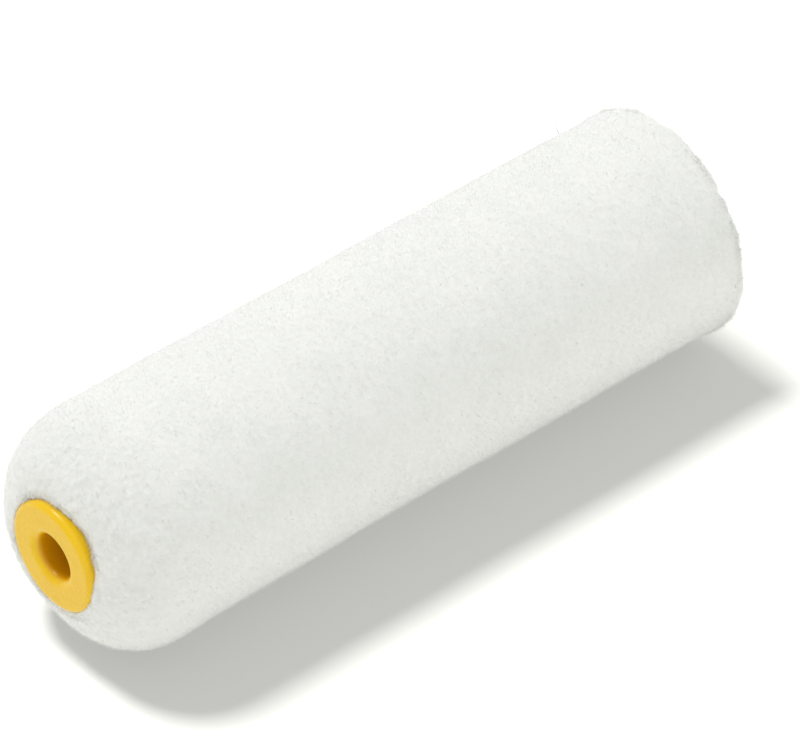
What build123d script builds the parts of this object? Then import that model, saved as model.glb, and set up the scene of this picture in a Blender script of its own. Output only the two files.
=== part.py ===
from build123d import *

import os
from math import cos, radians, sin

# Mini paint roller refill: a domed, flocked foam cover on a plastic core, with a bored plug in each end.
#
# Millimetres. The roller lies on its side: its axis is Y, and Z is up. The domed end faces -Y and the cut
# end +Y. The origin is on the axis, halfway between the outer faces of the two plugs.
#
# From the axis outwards the roller is built of:
#   plugs           two equal mouldings pressed into the core, each with a barrel that the roller frame's rod
#                   runs in, a spigot held by crush ribs, webs between the two, and a round-edged flange
#   core tube       a plain extruded tube
#   core adhesive   the film that holds the foam on the core
#   foam sleeve     domed at the front and cut square at the back, with a seat for each plug's flange
#   flock adhesive  the film that holds the pile on the foam
#   flock pile      short upright fibres, modelled as the closed layer that they fill

# Cover, over the pile
roller_d = 35.0
cover_length = 110.0  # from the crest of the dome, before its lip is rounded, to the square cut
dome_length = 12.0  # how far the dome reaches along the axis
lip_radius = 1.8  # rounding of the cover down to the front plug

# Layers of the cover
pile_height = 1.0
flock_adhesive_t = 0.1
core_adhesive_t = 0.15

# Core tube
core_d = 16.0
core_wall = 1.2
core_chamfer = 0.3

# End plugs
rod_bore_d = 6.6  # runs on a 6 mm rod
mouth_radius = 1.4  # rounding of the bore where the rod goes in
barrel_wall = 1.0
barrel_length = 18.0  # from the plug's face
barrel_chamfer = 0.4
flange_overhang = 0.3  # the flange is this much larger in radius than the core
flange_t = 4.4
flange_proud = 0.6  # the plug's face stands this far out of the cover
flange_edge_radius = 0.85
face_t = 1.6  # solid plastic between the plug's face and the pockets behind it
spigot_length = 10.0
spigot_wall = 1.0
spigot_chamfer = 0.5
rib_height = 0.15  # the crush ribs fill the gap between spigot and core
rib_width = 0.8
rib_lead_in = 1.2  # the ribs stop this far short of the spigot's end
web_count = 6
web_t = 1.0

# Clearance
seat_gap = 0.1  # between a plug's flange and its seat in the cover, in radius

# Radii that follow
roller_r = roller_d / 2
core_r = core_d / 2
core_bore_r = core_r - core_wall
foam_bore_r = core_r + core_adhesive_t
flange_r = core_r + flange_overhang
seat_r = flange_r + seat_gap
rod_bore_r = rod_bore_d / 2
barrel_r = rod_bore_r + barrel_wall
spigot_r = core_bore_r - rib_height
pocket_r = spigot_r - spigot_wall

# Depths under the tips of the pile, and places along the axis, that follow
foam_depth = pile_height + flock_adhesive_t
face_y = cover_length / 2 + flange_proud
cut_y = cover_length / 2
crest_y = -cut_y
dome_start_y = crest_y + dome_length
seat_y = face_y - flange_t  # the flanges' inner faces, the core's ends and the foam's seats


def turned(section):
    """The solid that a half section, drawn in radius and Y, makes round the roller's axis."""
    return revolve(section, Axis.Y, 360)


def ring(inner_r, outer_r, start_y, end_y):
    """A plain round-walled tube on the roller's axis."""
    corners = [
        (inner_r, start_y),
        (outer_r, start_y),
        (outer_r, end_y),
        (inner_r, end_y),
    ]
    return turned(make_face(Polyline(*corners, close=True).edges()))


def bar(inner_r, outer_r, width, start_y, end_y, turn):
    """A flat bar that stands out from the axis, turned about it by this many degrees."""
    middle_r = (inner_r + outer_r) / 2
    middle_y = (start_y + end_y) / 2
    place = Location((middle_r * cos(radians(turn)), middle_y, -middle_r * sin(radians(turn))))
    return place * Rotation(0, turn, 0) * Box(outer_r - inner_r, end_y - start_y, width)


def cover_section(depth):
    """Half section of the cover, outside the plugs' seats, under the surface this deep in the pile."""
    outer_r = roller_r - depth
    nose_y = crest_y + depth
    end = Line((seat_r, cut_y), (outer_r, cut_y))
    barrel = Line((outer_r, cut_y), (outer_r, dome_start_y))
    dome = EllipticalCenterArc(
        center=(seat_r, dome_start_y),
        x_radius=outer_r - seat_r,
        y_radius=dome_start_y - nose_y,
        start_angle=0,
        arc_size=-90,
    )
    seat = Line((seat_r, nose_y), (seat_r, cut_y))
    section = make_face([end, barrel, dome, seat])
    return fillet(section.vertices().sort_by(Axis.Y)[0], lip_radius)


def flock_pile():
    """The layer that the upright fibres fill."""
    return turned(cover_section(0) - cover_section(pile_height))


def flock_adhesive():
    """The film between the pile and the foam."""
    return turned(cover_section(pile_height) - cover_section(foam_depth))


def foam_sleeve():
    """All of the cover under the flock adhesive, with a seat for a flange at each end."""
    return turned(cover_section(foam_depth)) + ring(foam_bore_r, seat_r, -seat_y, seat_y)


def core_adhesive():
    """The film between the foam and the core, as long as the core."""
    return ring(core_r, foam_bore_r, -seat_y, seat_y)


def core_tube():
    """The core, with its bore chamfered at both ends for the plugs."""
    tube = ring(core_bore_r, core_r, -seat_y, seat_y)
    rims = tube.edges().filter_by(GeomType.CIRCLE).sort_by(SortBy.RADIUS)[:2]
    return chamfer(rims, core_chamfer)


def front_plug():
    """The plug in the domed end, with its face towards -Y."""
    face = -face_y
    pocket_floor = face + face_t
    spigot_end = -seat_y + spigot_length
    barrel_end = face + barrel_length

    flange = ring(rod_bore_r, flange_r, face, -seat_y)
    flange_edge = flange.edges().group_by(Axis.Y)[0].sort_by(SortBy.RADIUS)[-1]
    flange = fillet(flange_edge, min(flange_edge_radius, flange_t / 2))

    spigot = ring(rod_bore_r, spigot_r, -seat_y, spigot_end)
    spigot_edge = spigot.edges().group_by(Axis.Y)[-1].sort_by(SortBy.RADIUS)[-1]
    spigot = chamfer(spigot_edge, spigot_chamfer)

    barrel = ring(rod_bore_r, barrel_r, spigot_end, barrel_end)
    barrel = chamfer(barrel.edges().group_by(Axis.Y)[-1], barrel_chamfer)

    pockets = ring(barrel_r, pocket_r, pocket_floor, spigot_end) - webs(pocket_floor, spigot_end)
    plug = flange + spigot + barrel - pockets + crush_ribs(-seat_y, spigot_end - rib_lead_in)
    mouth = plug.edges().group_by(Axis.Y)[0].sort_by(SortBy.RADIUS)[0]
    return fillet(mouth, mouth_radius)


def webs(start_y, end_y):
    """The walls that join the barrel to the spigot, reaching halfway into each."""
    inner_r = barrel_r - barrel_wall / 2
    outer_r = pocket_r + spigot_wall / 2
    step = 360 / web_count
    return [bar(inner_r, outer_r, web_t, start_y, end_y, step * i) for i in range(web_count)]


def crush_ribs(start_y, end_y):
    """Ribs along the outside of the spigot, one over each web, that reach the core's bore."""
    reach = ring(spigot_r - spigot_wall / 2, core_bore_r, start_y, end_y)
    step = 360 / web_count
    bars = [bar(pocket_r, core_r, rib_width, start_y, end_y, step * i) for i in range(web_count)]
    return [reach & rib for rib in bars]


def rear_plug():
    """The same moulding turned round, in the cut end."""
    return Rotation(0, 0, 180) * front_plug()


pieces = {
    "front_end_plug": front_plug,
    "rear_end_plug": rear_plug,
    "core_tube": core_tube,
    "core_adhesive": core_adhesive,
    "foam_sleeve": foam_sleeve,
    "flock_adhesive": flock_adhesive,
    "flock_pile": flock_pile,
}

os.makedirs("parts", exist_ok=True)
for name, make in pieces.items():
    export_step(make(), f"parts/{name}.step")
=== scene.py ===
import math

import bpy
import numpy as np
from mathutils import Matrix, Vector


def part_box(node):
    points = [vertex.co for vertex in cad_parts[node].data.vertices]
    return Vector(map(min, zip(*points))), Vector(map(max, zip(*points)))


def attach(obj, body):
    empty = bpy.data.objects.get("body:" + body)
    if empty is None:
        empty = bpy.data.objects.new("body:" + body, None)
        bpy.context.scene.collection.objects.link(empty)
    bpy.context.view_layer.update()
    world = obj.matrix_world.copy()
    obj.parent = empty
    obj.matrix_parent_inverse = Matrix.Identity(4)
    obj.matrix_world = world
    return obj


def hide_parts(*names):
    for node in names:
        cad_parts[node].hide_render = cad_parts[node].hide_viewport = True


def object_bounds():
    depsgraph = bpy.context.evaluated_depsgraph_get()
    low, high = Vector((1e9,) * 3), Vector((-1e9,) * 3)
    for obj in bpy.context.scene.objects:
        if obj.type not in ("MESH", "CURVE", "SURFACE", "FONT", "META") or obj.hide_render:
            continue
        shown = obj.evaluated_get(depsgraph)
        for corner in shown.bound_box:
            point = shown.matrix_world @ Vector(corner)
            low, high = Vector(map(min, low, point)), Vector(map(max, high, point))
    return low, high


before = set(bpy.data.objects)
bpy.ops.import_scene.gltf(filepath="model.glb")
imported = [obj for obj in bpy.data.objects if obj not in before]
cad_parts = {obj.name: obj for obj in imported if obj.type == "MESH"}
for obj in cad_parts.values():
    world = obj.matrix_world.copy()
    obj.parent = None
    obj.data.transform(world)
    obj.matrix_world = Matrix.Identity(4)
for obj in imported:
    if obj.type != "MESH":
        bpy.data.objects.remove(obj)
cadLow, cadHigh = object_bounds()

mm = 0.001
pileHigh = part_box("flock_pile")[1]
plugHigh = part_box("front_end_plug")[1]
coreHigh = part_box("core_tube")[1]
print("frame loaded:", ", ".join(sorted(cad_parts)))

# sizes of the cover that the frame's boxes don't give
cover = {
    "domeLength": 12.0 * mm,  # how far the dome reaches along the roller
    "lipRadius": 1.8 * mm,  # rounding of the foam down to the plug
    "seatGap": 0.1 * mm,  # between the plug's flange and the cover
    "pileHeight": 1.0 * mm,
    "filmThickness": 0.1 * mm,  # glue between the foam and the pile
    "coreFilm": 0.15 * mm,  # glue between the core and the foam
}
rollerR = pileHigh.z
cutY = pileHigh.y
noseY = -cutY
tableZ = cadLow.z
flangeR = plugHigh.z
seatR = flangeR + cover["seatGap"]
foamBoreR = coreHigh.z + cover["coreFilm"]
seatY = coreHigh.y
foamDepth = cover["pileHeight"] + cover["filmThickness"]


# shapes, with their points worked out as whole arrays

# Random values at the corners of a cubic lattice, blended smoothly between them, from -1 to 1.
def softNoise(points, cell, seed):
    side = 64
    lattice = np.random.default_rng(seed).uniform(-1, 1, (side, side, side))
    place = points / cell
    corner = np.floor(place).astype(int)
    part = place - corner
    part = part * part * (3 - 2 * part)
    total = np.zeros(points.shape[:-1])
    for step in np.ndindex(2, 2, 2):
        weight = np.where(np.array(step, bool), part, 1 - part).prod(axis=-1)
        index = (corner + step) % side
        total += weight * lattice[index[..., 0], index[..., 1], index[..., 2]]
    return total


# Distance from each point to the nearest of the seeds scattered one to a cell, in cells. A seed keeps a tenth
# of a cell away from the cell's walls.
def cellNoise(points, cell, seed):
    side = 32
    seeds = np.random.default_rng(seed).uniform(0.1, 0.9, (side, side, side, 3))
    place = points / cell
    corner = np.floor(place).astype(int)
    nearest = np.full(points.shape[:-1], 9.0)
    for step in np.ndindex(3, 3, 3):
        other = corner + step - 1
        index = other % side
        spot = other + seeds[index[..., 0], index[..., 1], index[..., 2]]
        nearest = np.minimum(nearest, np.linalg.norm(place - spot, axis=-1))
    return nearest


# Points at even steps along a line of (radius, y) points.
def evenly(line, step):
    gone = np.concatenate([[0], np.cumsum(np.linalg.norm(np.diff(line, axis=0), axis=1))])
    count = max(2, int(round(gone[-1] / step)) + 1)
    at = np.linspace(0, gone[-1], count)
    return np.stack([np.interp(at, gone, line[:, 0]), np.interp(at, gone, line[:, 1])], axis=1)


# Directions square to a line of (radius, y) points, out of the cover when the line runs forwards over it.
def squareTo(line):
    along = np.gradient(line, axis=0)
    out = np.stack([-along[:, 1], along[:, 0]], axis=1)
    return out / np.linalg.norm(out, axis=1, keepdims=True)


# The cover's profile this deep in the pile, from the cut end forwards: a straight barrel, a quarter ellipse
# that ends level over the plug's seat, and an arc of the lip's radius that touches both of them.
def coverProfile(depth, lip, seat):
    startY = noseY + cover["domeLength"]
    wide = rollerR - depth - seatR
    long = cover["domeLength"] - depth
    turn = np.linspace(0, math.pi / 2, 2000)
    h = np.hypot(long * np.cos(turn), wide * np.sin(turn))
    outR = long * np.cos(turn) / h
    outY = -wide * np.sin(turn) / h
    domeR = seatR + wide * np.cos(turn)
    domeY = startY - long * np.sin(turn)
    # the arc starts where its centre, one lip radius inside the dome, is one lip radius off the seat
    excess = domeR - lip * outR - seat - lip
    start = np.interp(0, -excess, turn)
    keep = turn < start
    centreY = np.interp(start, turn, domeY - lip * outY)
    swing = np.linspace(np.interp(start, turn, np.arctan2(-outY, outR)), math.pi, 60)
    barrel = [[rollerR - depth, cutY]]
    dome = np.stack([domeR[keep], domeY[keep]], axis=1)
    arc = np.stack([seat + lip + lip * np.cos(swing), centreY - lip * np.sin(swing)], axis=1)
    return np.concatenate([barrel, dome, arc])


# Turns (radius, y) lines about the roller's axis: the columns go round from +X towards +Z.
def turned(radius, y, columns):
    angle = np.arange(columns) * 2 * math.pi / columns
    radius, y, angle = np.broadcast_arrays(radius[:, None], y[:, None], angle[None, :])
    return np.stack([radius * np.cos(angle), y, radius * np.sin(angle)], axis=-1)


# Four-cornered faces of a grid that wraps round both ways, so it is closed.
def closedGrid(rows, columns):
    i, j = np.meshgrid(np.arange(rows), np.arange(columns), indexing="ij")
    nextI, nextJ = (i + 1) % rows, (j + 1) % columns
    corners = [i * columns + j, i * columns + nextJ, nextI * columns + nextJ, nextI * columns + j]
    return np.stack(corners, axis=-1).reshape(-1, 4)


# Slim fibres. Each has three-sided rings at even steps up a line that leaves its root along its direction and
# drifts off by its bend times the square of the way up. The rings shrink by the way left to the tip raised to
# the taper, and the last one closes to a point.
def fibreMesh(roots, directions, lengths, widths, bends, rings, taper=0.6):
    count = len(roots)
    side = np.cross(directions, directions[:, [1, 2, 0]])
    side /= np.linalg.norm(side, axis=1, keepdims=True)
    other = np.cross(directions, side)
    up = np.arange(rings) / rings
    angle = np.arange(3) * 2 * math.pi / 3
    line = (roots[:, None] + directions[:, None] * (lengths[:, None] * up)[..., None]
            + bends[:, None] * (up ** 2)[None, :, None])
    around = side[:, None, :] * np.cos(angle)[:, None] + other[:, None, :] * np.sin(angle)[:, None]
    reach = widths[:, None] / 2 * (1 - up) ** taper
    sides = line[:, :, None] + around[:, None] * reach[..., None, None]
    tips = roots + directions * lengths[:, None] + bends
    points = np.concatenate([sides.reshape(count, -1, 3), tips[:, None]], axis=1)
    faces = [[0, 2, 1]]
    for ring in range(rings - 1):
        for k in range(3):
            a, b = ring * 3 + k, ring * 3 + (k + 1) % 3
            faces += [[a, b, b + 3], [a, b + 3, a + 3]]
    top = rings * 3
    faces += [[top - 3 + k, top - 3 + (k + 1) % 3, top] for k in range(3)]
    faces = np.array(faces)[None] + (top + 1) * np.arange(count)[:, None, None]
    return points.reshape(-1, 3), faces.reshape(-1, 3)


# One mesh object at the origin, from points and faces already in their place.
def addPiece(name, points, faces, material, smooth=True):
    mesh = bpy.data.meshes.new(name)
    mesh.from_pydata(points.reshape(-1, 3), [], faces)
    mesh.polygons.foreach_set("use_smooth", np.full(len(faces), smooth))
    mesh.materials.append(material)
    mesh.update()
    piece = bpy.data.objects.new(name, mesh)
    bpy.context.scene.collection.objects.link(piece)
    return piece


# materials

# A shader node group with these sockets: its tree, and the sockets inside it to read from and to fill.
def newGroup(name, inputs, outputs):
    group = bpy.data.node_groups.new(name, "ShaderNodeTree")
    for label, kind, value in inputs:
        group.interface.new_socket(label, in_out="INPUT", socket_type=kind).default_value = value
    for label, kind in outputs:
        group.interface.new_socket(label, in_out="OUTPUT", socket_type=kind)
    return group, group.nodes.new("NodeGroupInput").outputs, group.nodes.new("NodeGroupOutput").inputs


# A node with its sockets set to values or linked to other nodes' sockets.
def addNode(tree, kind, values=None, **settings):
    node = tree.nodes.new(kind)
    for key, value in settings.items():
        setattr(node, key, value)
    for key, value in (values or {}).items():
        if isinstance(value, bpy.types.NodeSocket):
            tree.links.new(value, node.inputs[key])
        else:
            node.inputs[key].default_value = value
    return node


# soft mottling and a fine grain: two tones mixed by patches, and a height for a bump
def makeFluffGroup():
    group, given, made = newGroup(
        "fluff",
        [
            ("Light tone", "NodeSocketColor", (0.9, 0.9, 0.88, 1)),
            ("Deep tone", "NodeSocketColor", (0.8, 0.8, 0.78, 1)),
            ("Patch scale", "NodeSocketFloat", 120.0),
            ("Grain scale", "NodeSocketFloat", 1600.0),
            ("Grain share", "NodeSocketFloat", 0.5),
        ],
        [("Colour", "NodeSocketColor"), ("Height", "NodeSocketFloat")],
    )
    place = addNode(group, "ShaderNodeTexCoord").outputs["Object"]
    patches = addNode(group, "ShaderNodeTexNoise",
                      {"Vector": place, "Scale": given["Patch scale"], "Detail": 4.0, "Roughness": 0.6})
    grain = addNode(group, "ShaderNodeTexNoise",
                    {"Vector": place, "Scale": given["Grain scale"], "Detail": 3.0, "Roughness": 0.65})
    both = addNode(group, "ShaderNodeMix",
                   {"Factor": given["Grain share"], "A": patches.outputs["Fac"], "B": grain.outputs["Fac"]})
    spread = addNode(group, "ShaderNodeMapRange",
                     {"Value": both.outputs["Result"], "From Min": 0.32, "From Max": 0.68})
    tone = addNode(group, "ShaderNodeMix",
                   {"Factor": spread.outputs["Result"], "A": given["Deep tone"], "B": given["Light tone"]},
                   data_type="RGBA")
    group.links.new(tone.outputs["Result"], made["Colour"])
    group.links.new(grain.outputs["Fac"], made["Height"])
    return group


# open-cell foam: pits darkened with painted shade between paler walls, in two sizes, and a height for a bump
def makeCellGroup():
    group, given, made = newGroup(
        "openCells",
        [
            ("Wall tone", "NodeSocketColor", (0.8, 0.8, 0.75, 1)),
            ("Painted pit shade", "NodeSocketColor", (0.5, 0.5, 0.45, 1)),
            ("Cell scale", "NodeSocketFloat", 2200.0),
            ("Small share", "NodeSocketFloat", 0.45),
        ],
        [("Colour", "NodeSocketColor"), ("Height", "NodeSocketFloat")],
    )
    place = addNode(group, "ShaderNodeTexCoord").outputs["Object"]
    warp = addNode(group, "ShaderNodeTexNoise", {"Vector": place, "Scale": 900.0, "Detail": 2.0})
    # the cells are pulled about, so no two have one shape
    shift = addNode(group, "ShaderNodeVectorMath",
                    {0: warp.outputs["Color"], "Scale": 0.5 * mm}, operation="SCALE")
    moved = addNode(group, "ShaderNodeVectorMath", {0: place, 1: shift.outputs["Vector"]}, operation="ADD")
    large = addNode(group, "ShaderNodeTexVoronoi",
                    {"Vector": moved.outputs["Vector"], "Scale": given["Cell scale"]})
    finer = addNode(group, "ShaderNodeMath", {0: given["Cell scale"], 1: 2.3}, operation="MULTIPLY")
    small = addNode(group, "ShaderNodeTexVoronoi",
                    {"Vector": moved.outputs["Vector"], "Scale": finer.outputs["Value"]})
    both = addNode(group, "ShaderNodeMix",
                   {"Factor": given["Small share"],
                    "A": large.outputs["Distance"], "B": small.outputs["Distance"]})
    wall = addNode(group, "ShaderNodeMapRange",
                   {"Value": both.outputs["Result"], "From Min": 0.18, "From Max": 0.5})
    tone = addNode(group, "ShaderNodeMix",
                   {"Factor": wall.outputs["Result"], "A": given["Painted pit shade"], "B": given["Wall tone"]},
                   data_type="RGBA")
    group.links.new(tone.outputs["Result"], made["Colour"])
    group.links.new(wall.outputs["Result"], made["Height"])
    return group


# moulded or extruded plastic: faint flow marks in the colour, fine scuffs in the gloss, a slight waviness,
# and painted shade on the bore's wall
def makeMouldingGroup():
    group, given, made = newGroup(
        "moulding",
        [
            ("Colour", "NodeSocketColor", (0.9, 0.6, 0.0, 1)),
            ("Flow colour", "NodeSocketColor", (0.85, 0.5, 0.0, 1)),
            ("Gloss", "NodeSocketFloat", 0.25),
            ("Scuffed gloss", "NodeSocketFloat", 0.4),
            ("Flow scale", "NodeSocketFloat", 90.0),
            ("Wave scale", "NodeSocketFloat", 420.0),
            ("Painted bore shade", "NodeSocketColor", (0.5, 0.5, 0.5, 1)),
            ("Bore radius", "NodeSocketFloat", 1.0 * mm),  # smaller than any part, so no painted bore shade shows
        ],
        [("Colour", "NodeSocketColor"), ("Roughness", "NodeSocketFloat"), ("Height", "NodeSocketFloat")],
    )
    place = addNode(group, "ShaderNodeTexCoord").outputs["Object"]
    flow = addNode(group, "ShaderNodeTexNoise",
                   {"Vector": place, "Scale": given["Flow scale"], "Detail": 3.0, "Distortion": 1.2})
    flowShare = addNode(group, "ShaderNodeMapRange",
                        {"Value": flow.outputs["Fac"], "From Min": 0.45, "From Max": 0.75})
    tone = addNode(group, "ShaderNodeMix",
                   {"Factor": flowShare.outputs["Result"], "A": given["Colour"], "B": given["Flow colour"]},
                   data_type="RGBA")
    # painted shade: the bore's wall takes a darker colour for the shade deep in the bore, from its own radius
    # out to a tenth more
    across = addNode(group, "ShaderNodeVectorMath", {0: place, 1: (1.0, 0.0, 1.0)}, operation="MULTIPLY")
    radius = addNode(group, "ShaderNodeVectorMath", {0: across.outputs["Vector"]}, operation="LENGTH")
    edge = addNode(group, "ShaderNodeMath", {0: given["Bore radius"], 1: 1.1}, operation="MULTIPLY")
    outside = addNode(group, "ShaderNodeMapRange",
                      {"Value": radius.outputs["Value"], "From Min": given["Bore radius"],
                       "From Max": edge.outputs["Value"]}, interpolation_type="SMOOTHSTEP")
    boreShaded = addNode(group, "ShaderNodeMix",
                     {"Factor": outside.outputs["Result"],
                      "A": given["Painted bore shade"], "B": tone.outputs["Result"]},
                     data_type="RGBA")
    stretch = addNode(group, "ShaderNodeMapping", {"Vector": place, "Scale": (1.0, 0.2, 1.0)})
    scuff = addNode(group, "ShaderNodeTexNoise",
                    {"Vector": stretch.outputs["Vector"], "Scale": 900.0, "Detail": 5.0, "Roughness": 0.7})
    worn = addNode(group, "ShaderNodeMapRange",
                   {"Value": scuff.outputs["Fac"], "From Min": 0.5, "From Max": 0.72,
                    "To Min": given["Gloss"], "To Max": given["Scuffed gloss"]})
    wave = addNode(group, "ShaderNodeTexNoise",
                   {"Vector": place, "Scale": given["Wave scale"], "Detail": 2.0})
    group.links.new(boreShaded.outputs["Result"], made["Colour"])
    group.links.new(worn.outputs["Result"], made["Roughness"])
    group.links.new(wave.outputs["Fac"], made["Height"])
    return group


def makeMaterial(name, group, look, shader, bump):
    material = bpy.data.materials.new(name)
    material.use_nodes = True
    tree = material.node_tree
    surface = tree.nodes["Principled BSDF"]
    for key, value in shader.items():
        surface.inputs[key].default_value = value
    pattern = addNode(tree, "ShaderNodeGroup", node_tree=group)
    for key, value in look.items():
        pattern.inputs[key].default_value = value
    tree.links.new(pattern.outputs["Colour"], surface.inputs["Base Color"])
    if "Roughness" in pattern.outputs:
        tree.links.new(pattern.outputs["Roughness"], surface.inputs["Roughness"])
    relief = addNode(tree, "ShaderNodeBump", {"Height": pattern.outputs["Height"], **bump})
    tree.links.new(relief.outputs["Normal"], surface.inputs["Normal"])
    return material


fluff = makeFluffGroup()
openCells = makeCellGroup()
moulding = makeMouldingGroup()

whiteFlock = makeMaterial(
    "whiteFlock", fluff,
    {"Light tone": (0.765, 0.77, 0.745, 1), "Deep tone": (0.7, 0.71, 0.68, 1),
     "Patch scale": 110.0, "Grain scale": 1500.0, "Grain share": 0.6},
    # the fibres are thin enough for light to come through them
    {"Roughness": 0.95, "Specular IOR Level": 0.15, "Sheen Weight": 0.15, "Sheen Roughness": 0.6,
     "Subsurface Weight": 0.8, "Subsurface Radius": (1.0, 1.0, 1.0), "Subsurface Scale": 0.2 * mm},
    {"Strength": 0.35, "Distance": 0.12 * mm},
)
whiteFoam = makeMaterial(
    "whiteFoam", openCells,
    # the pits' darker tone is painted shade in the foam's hollows
    {"Wall tone": (0.84, 0.835, 0.79, 1), "Painted pit shade": (0.5, 0.49, 0.43, 1),
     "Cell scale": 2100.0, "Small share": 0.4},
    {"Roughness": 0.9, "Specular IOR Level": 0.2},
    {"Strength": 0.7, "Distance": 0.15 * mm},
)
driedGlue = makeMaterial(
    "driedGlue", fluff,
    {"Light tone": (0.78, 0.75, 0.63, 1), "Deep tone": (0.66, 0.62, 0.5, 1),
     "Patch scale": 400.0, "Grain scale": 2500.0, "Grain share": 0.4},
    {"Roughness": 0.5},
    {"Strength": 0.3, "Distance": 0.05 * mm},
)
yellowPlastic = makeMaterial(
    "yellowPlastic", moulding,
    {"Colour": (0.79, 0.5, 0.002, 1), "Flow colour": (0.76, 0.46, 0.001, 1),
     "Gloss": 0.26, "Scuffed gloss": 0.34, "Flow scale": 140.0, "Wave scale": 500.0,
     # the bore's darker amber is painted shade deep in the bore
     "Painted bore shade": (0.68, 0.33, 0.002, 1), "Bore radius": 3.35 * mm},
    {"Specular IOR Level": 0.35},
    {"Strength": 0.12, "Distance": 0.05 * mm},
)
corePlastic = makeMaterial(
    "corePlastic", moulding,
    {"Colour": (0.8, 0.8, 0.77, 1), "Flow colour": (0.76, 0.76, 0.72, 1), "Gloss": 0.35, "Scuffed gloss": 0.5,
     "Flow scale": 60.0, "Wave scale": 300.0},
    {"Specular IOR Level": 0.4},
    {"Strength": 0.2, "Distance": 0.05 * mm},
)
print("materials made")

for node, material in {
    "front_end_plug": yellowPlastic,
    "rear_end_plug": yellowPlastic,
    "core_tube": corePlastic,
    "core_adhesive": driedGlue,
    "flock_adhesive": driedGlue,
}.items():
    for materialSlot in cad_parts[node].material_slots:
        materialSlot.material = material


# the pile's surface

pile = {
    "step": 0.33 * mm,  # size of a face
    "columns": 380,
    "sunk": 0.22 * mm,  # the mass of fibres is this far below the tips
    "lipRadius": 0.25 * mm,  # the pile stands closer round the plug than the foam does
    "swell": 0.14 * mm,  # slow unevenness over cells of swellCell
    "swellCell": 13 * mm,
    "clump": 0.05 * mm,
    "clumpCell": 2.6 * mm,
    "grain": 0.06 * mm,
    "grainCell": 0.75 * mm,
    "domeGrain": 1.6,  # how much stronger the grain is on the dome
    "domeFade": 8 * mm,
    "rimRadius": 0.45 * mm,  # rounding of the cut rim
    "flare": 0.65 * mm,  # the pile spreads by this much at the cut
    "flareReach": 1.2 * mm,
    "flareShares": (0.4, 0.9, 0.4),  # all round, more towards the table, and at random
    "ragged": 0.36 * mm,  # how uneven the cut is
    "raggedCell": 2.4 * mm,
    "gluedEdge": 0.5 * mm,  # this far from the foam the pile is free to spread
    "hiddenStep": 2.5 * mm,  # rows where nothing shows
    # the pile stands this much further forward or back round the plug: angle, half width in degrees, how far
    "creep": [
        (47, 36, -0.95 * mm),
        (106, 24, -0.4 * mm),
        (-25, 32, 0.25 * mm),
        (150, 26, 0.35 * mm),
        (212, 40, 0.6 * mm),
    ],
    "creepReach": 3.0 * mm,
    # the hand-trimmed dome is fuller on one side: angle and half width, place and half length, and how much
    "full": (-42, 42, -49.5 * mm, 6 * mm, 0.85 * mm),
}


# A bump of height 1 round this angle about the axis, that falls off as a bell curve.
def bumpAt(points, angle, width):
    turn = np.degrees(np.arctan2(points[..., 2], points[..., 0]))
    away = (turn - angle + 180) % 360 - 180
    return np.exp(-(away / width) ** 2)


# How far the pile stands out of, or sinks under, its even surface at these points.
def unevenness(points):
    angle, width, middle, reach, height = pile["full"]
    total = height * bumpAt(points, angle, width) * np.exp(-((points[..., 1] - middle) / reach) ** 2)
    total += pile["swell"] * softNoise(points, pile["swellCell"], 11)
    total += pile["clump"] * softNoise(points, pile["clumpCell"], 12)
    inDome = (noseY + cover["domeLength"] - points[..., 1]) / pile["domeFade"]
    stronger = 1 + pile["domeGrain"] * np.clip(inDome, 0, 1)
    total += pile["grain"] * stronger * softNoise(points, pile["grainCell"], 13)
    return total


# How far the pile creeps forward round the plug, fading with the distance from the plug's side.
def creepForward(points):
    radius = np.hypot(points[..., 0], points[..., 2])
    near = np.exp(-((radius - flangeR) / pile["creepReach"]) ** 2) * (points[..., 1] < 0)
    return near * sum(height * bumpAt(points, angle, width) for angle, width, height in pile["creep"])


# How far the pile spreads outwards and back at the cut, fading forwards along the barrel.
def cutSpread(points):
    fade = np.exp((points[..., 1] - cutY) / pile["flareReach"])
    low = 0.5 - 0.5 * points[..., 2] / rollerR
    even, lower, uneven = pile["flareShares"]
    share = even + lower * low + uneven * softNoise(points, pile["raggedCell"], 21)
    out = pile["flare"] * share * fade
    back = pile["ragged"] * softNoise(points, pile["raggedCell"], 22) * fade
    back += 0.5 * pile["ragged"] * softNoise(points, pile["raggedCell"] / 3, 23) * fade
    # the corner next to the foam stays where it is glued
    offFoam = np.hypot(points[..., 0], points[..., 2]) - rollerR + cover["pileHeight"]
    free = np.clip(offFoam / pile["gluedEdge"], 0, 1)
    return out * free, back * free


# Moves points of the even surface to where the real pile is: out by its unevenness, outwards and back at the
# cut, forwards round the plug, and never below the table.
def settled(points, out):
    outwards = points * [1, 0, 1]
    outwards /= np.linalg.norm(outwards, axis=-1, keepdims=True)
    spread, back = cutSpread(points)
    moved = points + out * unevenness(points)[..., None] + outwards * spread[..., None]
    moved[..., 1] += back - creepForward(points)
    moved[..., 2] = np.maximum(moved[..., 2], tableZ)
    return moved


# The even outer surface between the cut's inner corner and the plug's side, with a rounded rim.
def pileProfile():
    outer = coverProfile(pile["sunk"], pile["lipRadius"], flangeR)
    rim = pile["rimRadius"]
    swing = np.linspace(math.pi / 2, 0, 12)
    top = outer[0, 0]
    corner = np.stack([top - rim + rim * np.cos(swing), cutY - rim + rim * np.sin(swing)], axis=1)
    inner = [[rollerR - cover["pileHeight"], cutY]]
    return evenly(np.concatenate([inner, corner, outer[1:]]), pile["step"])


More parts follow.
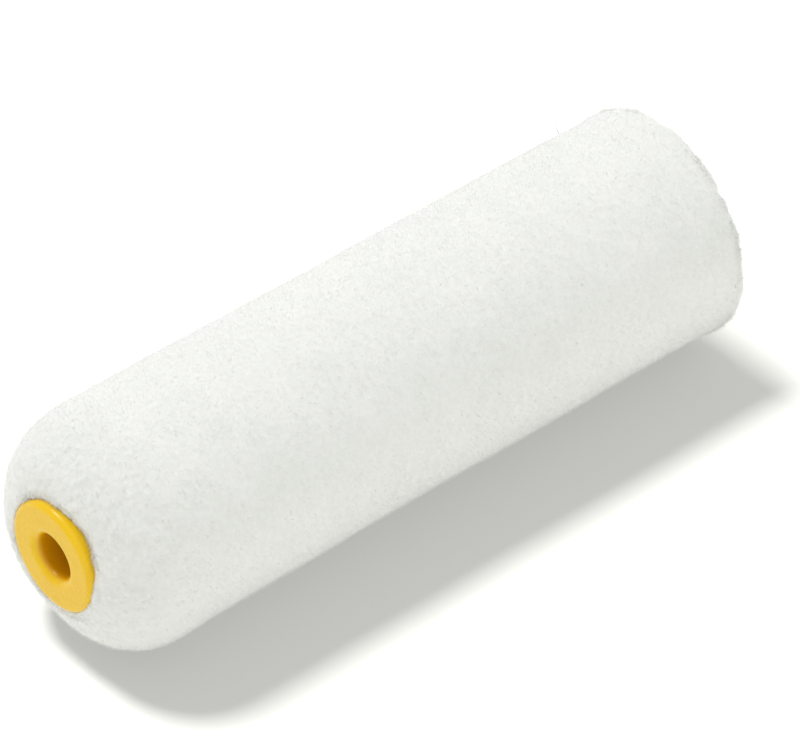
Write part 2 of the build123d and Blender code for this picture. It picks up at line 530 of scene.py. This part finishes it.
def makePileSurface():
    outer = pileProfile()
    out = squareTo(outer)
    inner = coverProfile(cover["pileHeight"], cover["lipRadius"], seatR)[::-1]
    inner = evenly(inner, pile["hiddenStep"])[:-1]
    line = np.concatenate([outer, inner])
    points = turned(line[:, 0], line[:, 1], pile["columns"])
    unit = turned(out[:, 0], np.zeros(len(out)), pile["columns"])
    unit[..., 1] = out[:, 1][:, None]
    points[: len(outer)] = settled(points[: len(outer)], unit)
    piece = addPiece("pile_surface", points, closedGrid(len(line), pile["columns"]), whiteFlock)
    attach(piece, "root")
    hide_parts("flock_pile")
    return outer, out


pileLine, pileOut = makePileSurface()
print("pile surface made")


# fibres

fibres = {
    "count": 294000,
    "pieces": 7,
    "rootDepth": 0.3 * mm,  # roots lie this far under the pile's surface
    "length": (0.4 * mm, 0.68 * mm),
    "width": (0.07 * mm, 0.11 * mm),
    "lean": 0.35,
    "bend": 0.22,  # share of a fibre's length that its tip drifts off
    "seed": 5,
}
rimFibres = {
    "count": 5000,
    "stretch": (0.0, 0.014),  # share of the way from the cut's inner corner to the plug
    "rootDepth": 0.2 * mm,
    "length": (0.3 * mm, 0.6 * mm),
    "width": (0.06 * mm, 0.1 * mm),
    "lean": 0.35,
    "pull": 0.15,  # how far they are combed back over the cut
    "tuft": 0.9,  # how much longer the tufts are
    "tuftCell": 2.6 * mm,
    "seed": 6,
}
lipFibres = {
    "count": 2600,
    "stretch": (0.988, 1.0),
    "rootDepth": 0.15 * mm,
    "length": (0.3 * mm, 0.55 * mm),
    "width": (0.07 * mm, 0.11 * mm),
    "lean": 0.3,
    "pull": -0.7,
    "tuft": 0.8,
    "tuftCell": 2.2 * mm,
    "seed": 7,
}
strayFibre = {
    "root": (-13.0 * mm, 47.3 * mm, 11.7 * mm),
    "direction": (-0.7, 0.1, 0.71),
    "length": 3.4 * mm,
    "width": 0.2 * mm,
    "bend": (0.1 * mm, 0.35 * mm, 0.1 * mm),
}


# Random roots on the pile's surface between two shares of its length, evenly over its area.
def scatter(count, start, end, random):
    length = np.concatenate([[0], np.cumsum(np.linalg.norm(np.diff(pileLine, axis=0), axis=1))])
    area = np.concatenate([[0], np.cumsum(np.diff(length) * (pileLine[1:, 0] + pileLine[:-1, 0]) / 2)])
    inside = np.interp([start * length[-1], end * length[-1]], length, area)
    at = np.interp(random.uniform(*inside, count), area, length)
    angle = random.uniform(0, 2 * math.pi, count)
    radius, y = (np.interp(at, length, pileLine[:, k]) for k in (0, 1))
    outR, outY = (np.interp(at, length, pileOut[:, k]) for k in (0, 1))
    points = np.stack([radius * np.cos(angle), y, radius * np.sin(angle)], axis=1)
    out = np.stack([outR * np.cos(angle), outY, outR * np.sin(angle)], axis=1)
    return points, out


# Fibres that stand out of the pile and lean at random. Pull combs them along the roller, and their lengths
# vary from tuft to tuft.
def growFibres(name, count, stretch, values, random, rings=1):
    points, out = scatter(count, *stretch, random)
    roots = settled(points, out) - out * values["rootDepth"]
    lean = random.normal(0, values["lean"], (count, 3))
    directions = out + lean + np.array([0, values.get("pull", 0), 0])
    directions /= np.linalg.norm(directions, axis=1, keepdims=True)
    lengths = random.uniform(*values["length"], count)
    if "tuft" in values:
        lengths *= 1 + values["tuft"] * softNoise(points, values["tuftCell"], values["seed"])
    widths = random.uniform(*values["width"], count)
    bends = random.normal(0, fibres["bend"], (count, 3)) * lengths[:, None]
    points, faces = fibreMesh(roots, directions, lengths, widths, bends, rings)
    points[:, 2] = np.maximum(points[:, 2], tableZ)
    piece = addPiece(name, points, faces, whiteFlock, smooth=False)
    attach(piece, "root")


random = np.random.default_rng(fibres["seed"])
stops = np.linspace(0, 1, fibres["pieces"] + 1)
for k in range(fibres["pieces"]):
    growFibres(f"pile_fibres_{k + 1}", fibres["count"] // fibres["pieces"], stops[k : k + 2], fibres, random)
growFibres("rim_fibres", rimFibres["count"], rimFibres["stretch"], rimFibres,
           np.random.default_rng(rimFibres["seed"]), rings=2)
growFibres("lip_fibres", lipFibres["count"], lipFibres["stretch"], lipFibres,
           np.random.default_rng(lipFibres["seed"]), rings=2)


def makeStrayFibre():
    direction = np.array([strayFibre["direction"]])
    direction /= np.linalg.norm(direction)
    mesh = fibreMesh(np.array([strayFibre["root"]]), direction, np.array([strayFibre["length"]]),
                     np.array([strayFibre["width"]]), np.array([strayFibre["bend"]]), rings=12)
    piece = addPiece("stray_fibre", *mesh, whiteFlock)
    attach(piece, "root")


makeStrayFibre()
print("fibres made")


# the foam

foam = {
    "columns": 600,
    "faceStep": 0.14 * mm,  # rows across the cut face
    "coarseStep": 2.5 * mm,  # rows where nothing shows
    "poreCell": 0.62 * mm,
    "poreSize": 0.4,  # share of a cell
    "poreDepth": 0.25 * mm,
    "smallCell": 0.55,  # the small pits' size and depth, as shares of the large ones'
    "smallDepth": 0.4,
    "wave": 0.15 * mm,  # the knife wandered by this much
    "waveCell": 5 * mm,
}


# Depth of the foam's open cells: a rounded pit round each seed, and a slow wave from the knife.
def poreDepth(points):
    near = cellNoise(points, foam["poreCell"], 31)
    pit = np.clip(1 - near / foam["poreSize"], 0, 1) ** 0.5
    nearSmall = cellNoise(points, foam["poreCell"] * foam["smallCell"], 32)
    small = np.clip(1 - nearSmall / foam["poreSize"], 0, 1) ** 0.5
    slow = foam["wave"] * (1 + softNoise(points, foam["waveCell"], 33)) / 2
    return foam["poreDepth"] * (pit + foam["smallDepth"] * small) + slow


def makeFoam():
    outerR = rollerR - foamDepth
    face = evenly(np.array([[seatR, cutY], [outerR, cutY]]), foam["faceStep"])
    outside = evenly(coverProfile(foamDepth, cover["lipRadius"], seatR), foam["coarseStep"])[1:]
    seats = [[seatR, -seatY], [foamBoreR, -seatY], [foamBoreR, seatY], [seatR, seatY]]
    line = np.concatenate([face, outside, seats])
    points = turned(line[:, 0], line[:, 1], foam["columns"])
    shown = points[1 : len(face) - 1]
    shown[..., 1] -= poreDepth(shown)
    piece = addPiece("foam_body", points, closedGrid(len(line), foam["columns"]), whiteFoam)
    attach(piece, "root")
    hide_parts("foam_sleeve")


makeFoam()
print("foam made")


# table, light and camera

# a pale table lit from below as well as above, as shooting tables are, so its shadows stay light
table = {
    "size": 4.0,
    "tone": (0.2, 0.2, 0.19, 1),
    "glowTone": (1.0, 1.0, 0.97, 1),
    "glow": 0.38,
}
light = {
    "sky": 0.87,
    "skySlope": (0.2, 0.12, 0.07),  # brighter towards +X, +Y and the top
    "key": 1.2,
    "tableKey": 9.4,  # a second lamp, on the table only
    "spread": 14,  # degrees across, for soft shadow edges
    "comesFrom": (-0.392, -0.117, 0.9),
}
view = {
    "azimuth": 49.1,
    "elevation": 40.2,
    "distance": 0.75,
    "lens": 244.8,
    "shift": (0.041, 0.0166),
}


def makeTable():
    half = table["size"] / 2
    corners = [(-half, -half, tableZ), (half, -half, tableZ), (half, half, tableZ), (-half, half, tableZ)]
    mesh = bpy.data.meshes.new("table")
    mesh.from_pydata(corners, [], [(0, 1, 2, 3)])
    top = bpy.data.objects.new("table", mesh)
    material = bpy.data.materials.new("litTable")
    material.use_nodes = True
    surface = material.node_tree.nodes["Principled BSDF"]
    surface.inputs["Base Color"].default_value = table["tone"]
    surface.inputs["Roughness"].default_value = 0.9
    surface.inputs["Specular IOR Level"].default_value = 0.1
    surface.inputs["Emission Color"].default_value = table["glowTone"]
    surface.inputs["Emission Strength"].default_value = table["glow"]
    mesh.materials.append(material)
    bpy.context.scene.collection.objects.link(top)
    return top


def makeSky():
    world = bpy.data.worlds.new("softStudio")
    bpy.context.scene.world = world
    world.use_nodes = True
    tree = world.node_tree
    place = addNode(tree, "ShaderNodeTexCoord").outputs["Generated"]
    slope = addNode(tree, "ShaderNodeVectorMath", {0: place, 1: light["skySlope"]}, operation="DOT_PRODUCT")
    strength = addNode(tree, "ShaderNodeMath", {0: slope.outputs["Value"], 1: light["sky"]}, operation="ADD")
    sky = tree.nodes["Background"]
    sky.inputs["Color"].default_value = (1, 1, 1, 1)
    tree.links.new(strength.outputs["Value"], sky.inputs["Strength"])


def makeLamp(name, strength):
    lamp = bpy.data.lights.new(name, "SUN")
    lamp.energy = strength
    lamp.angle = math.radians(light["spread"])
    holder = bpy.data.objects.new(name, lamp)
    holder.rotation_euler = Vector(light["comesFrom"]).to_track_quat("Z", "Y").to_euler()
    bpy.context.scene.collection.objects.link(holder)
    return holder


def makeCamera():
    turn, lift = math.radians(view["azimuth"]), math.radians(view["elevation"])
    back = Vector((math.sin(turn) * math.cos(lift), -math.cos(turn) * math.cos(lift), math.sin(lift)))
    camera = bpy.data.objects.new("camera", bpy.data.cameras.new("camera"))
    camera.data.lens = view["lens"]
    camera.data.shift_x, camera.data.shift_y = view["shift"]
    camera.data.clip_start = 0.01
    camera.location = back * view["distance"]
    camera.rotation_euler = back.to_track_quat("Z", "Y").to_euler()
    bpy.context.scene.collection.objects.link(camera)
    bpy.context.scene.camera = camera


tableTop = makeTable()
makeSky()
makeLamp("key", light["key"])
tableLamp = makeLamp("tableKey", light["tableKey"])
litByTableLamp = bpy.data.collections.new("litByTableLamp")
litByTableLamp.objects.link(tableTop)
tableLamp.light_linking.receiver_collection = litByTableLamp
makeCamera()
bpy.context.scene.view_settings.view_transform = "Standard"
print("stage made")
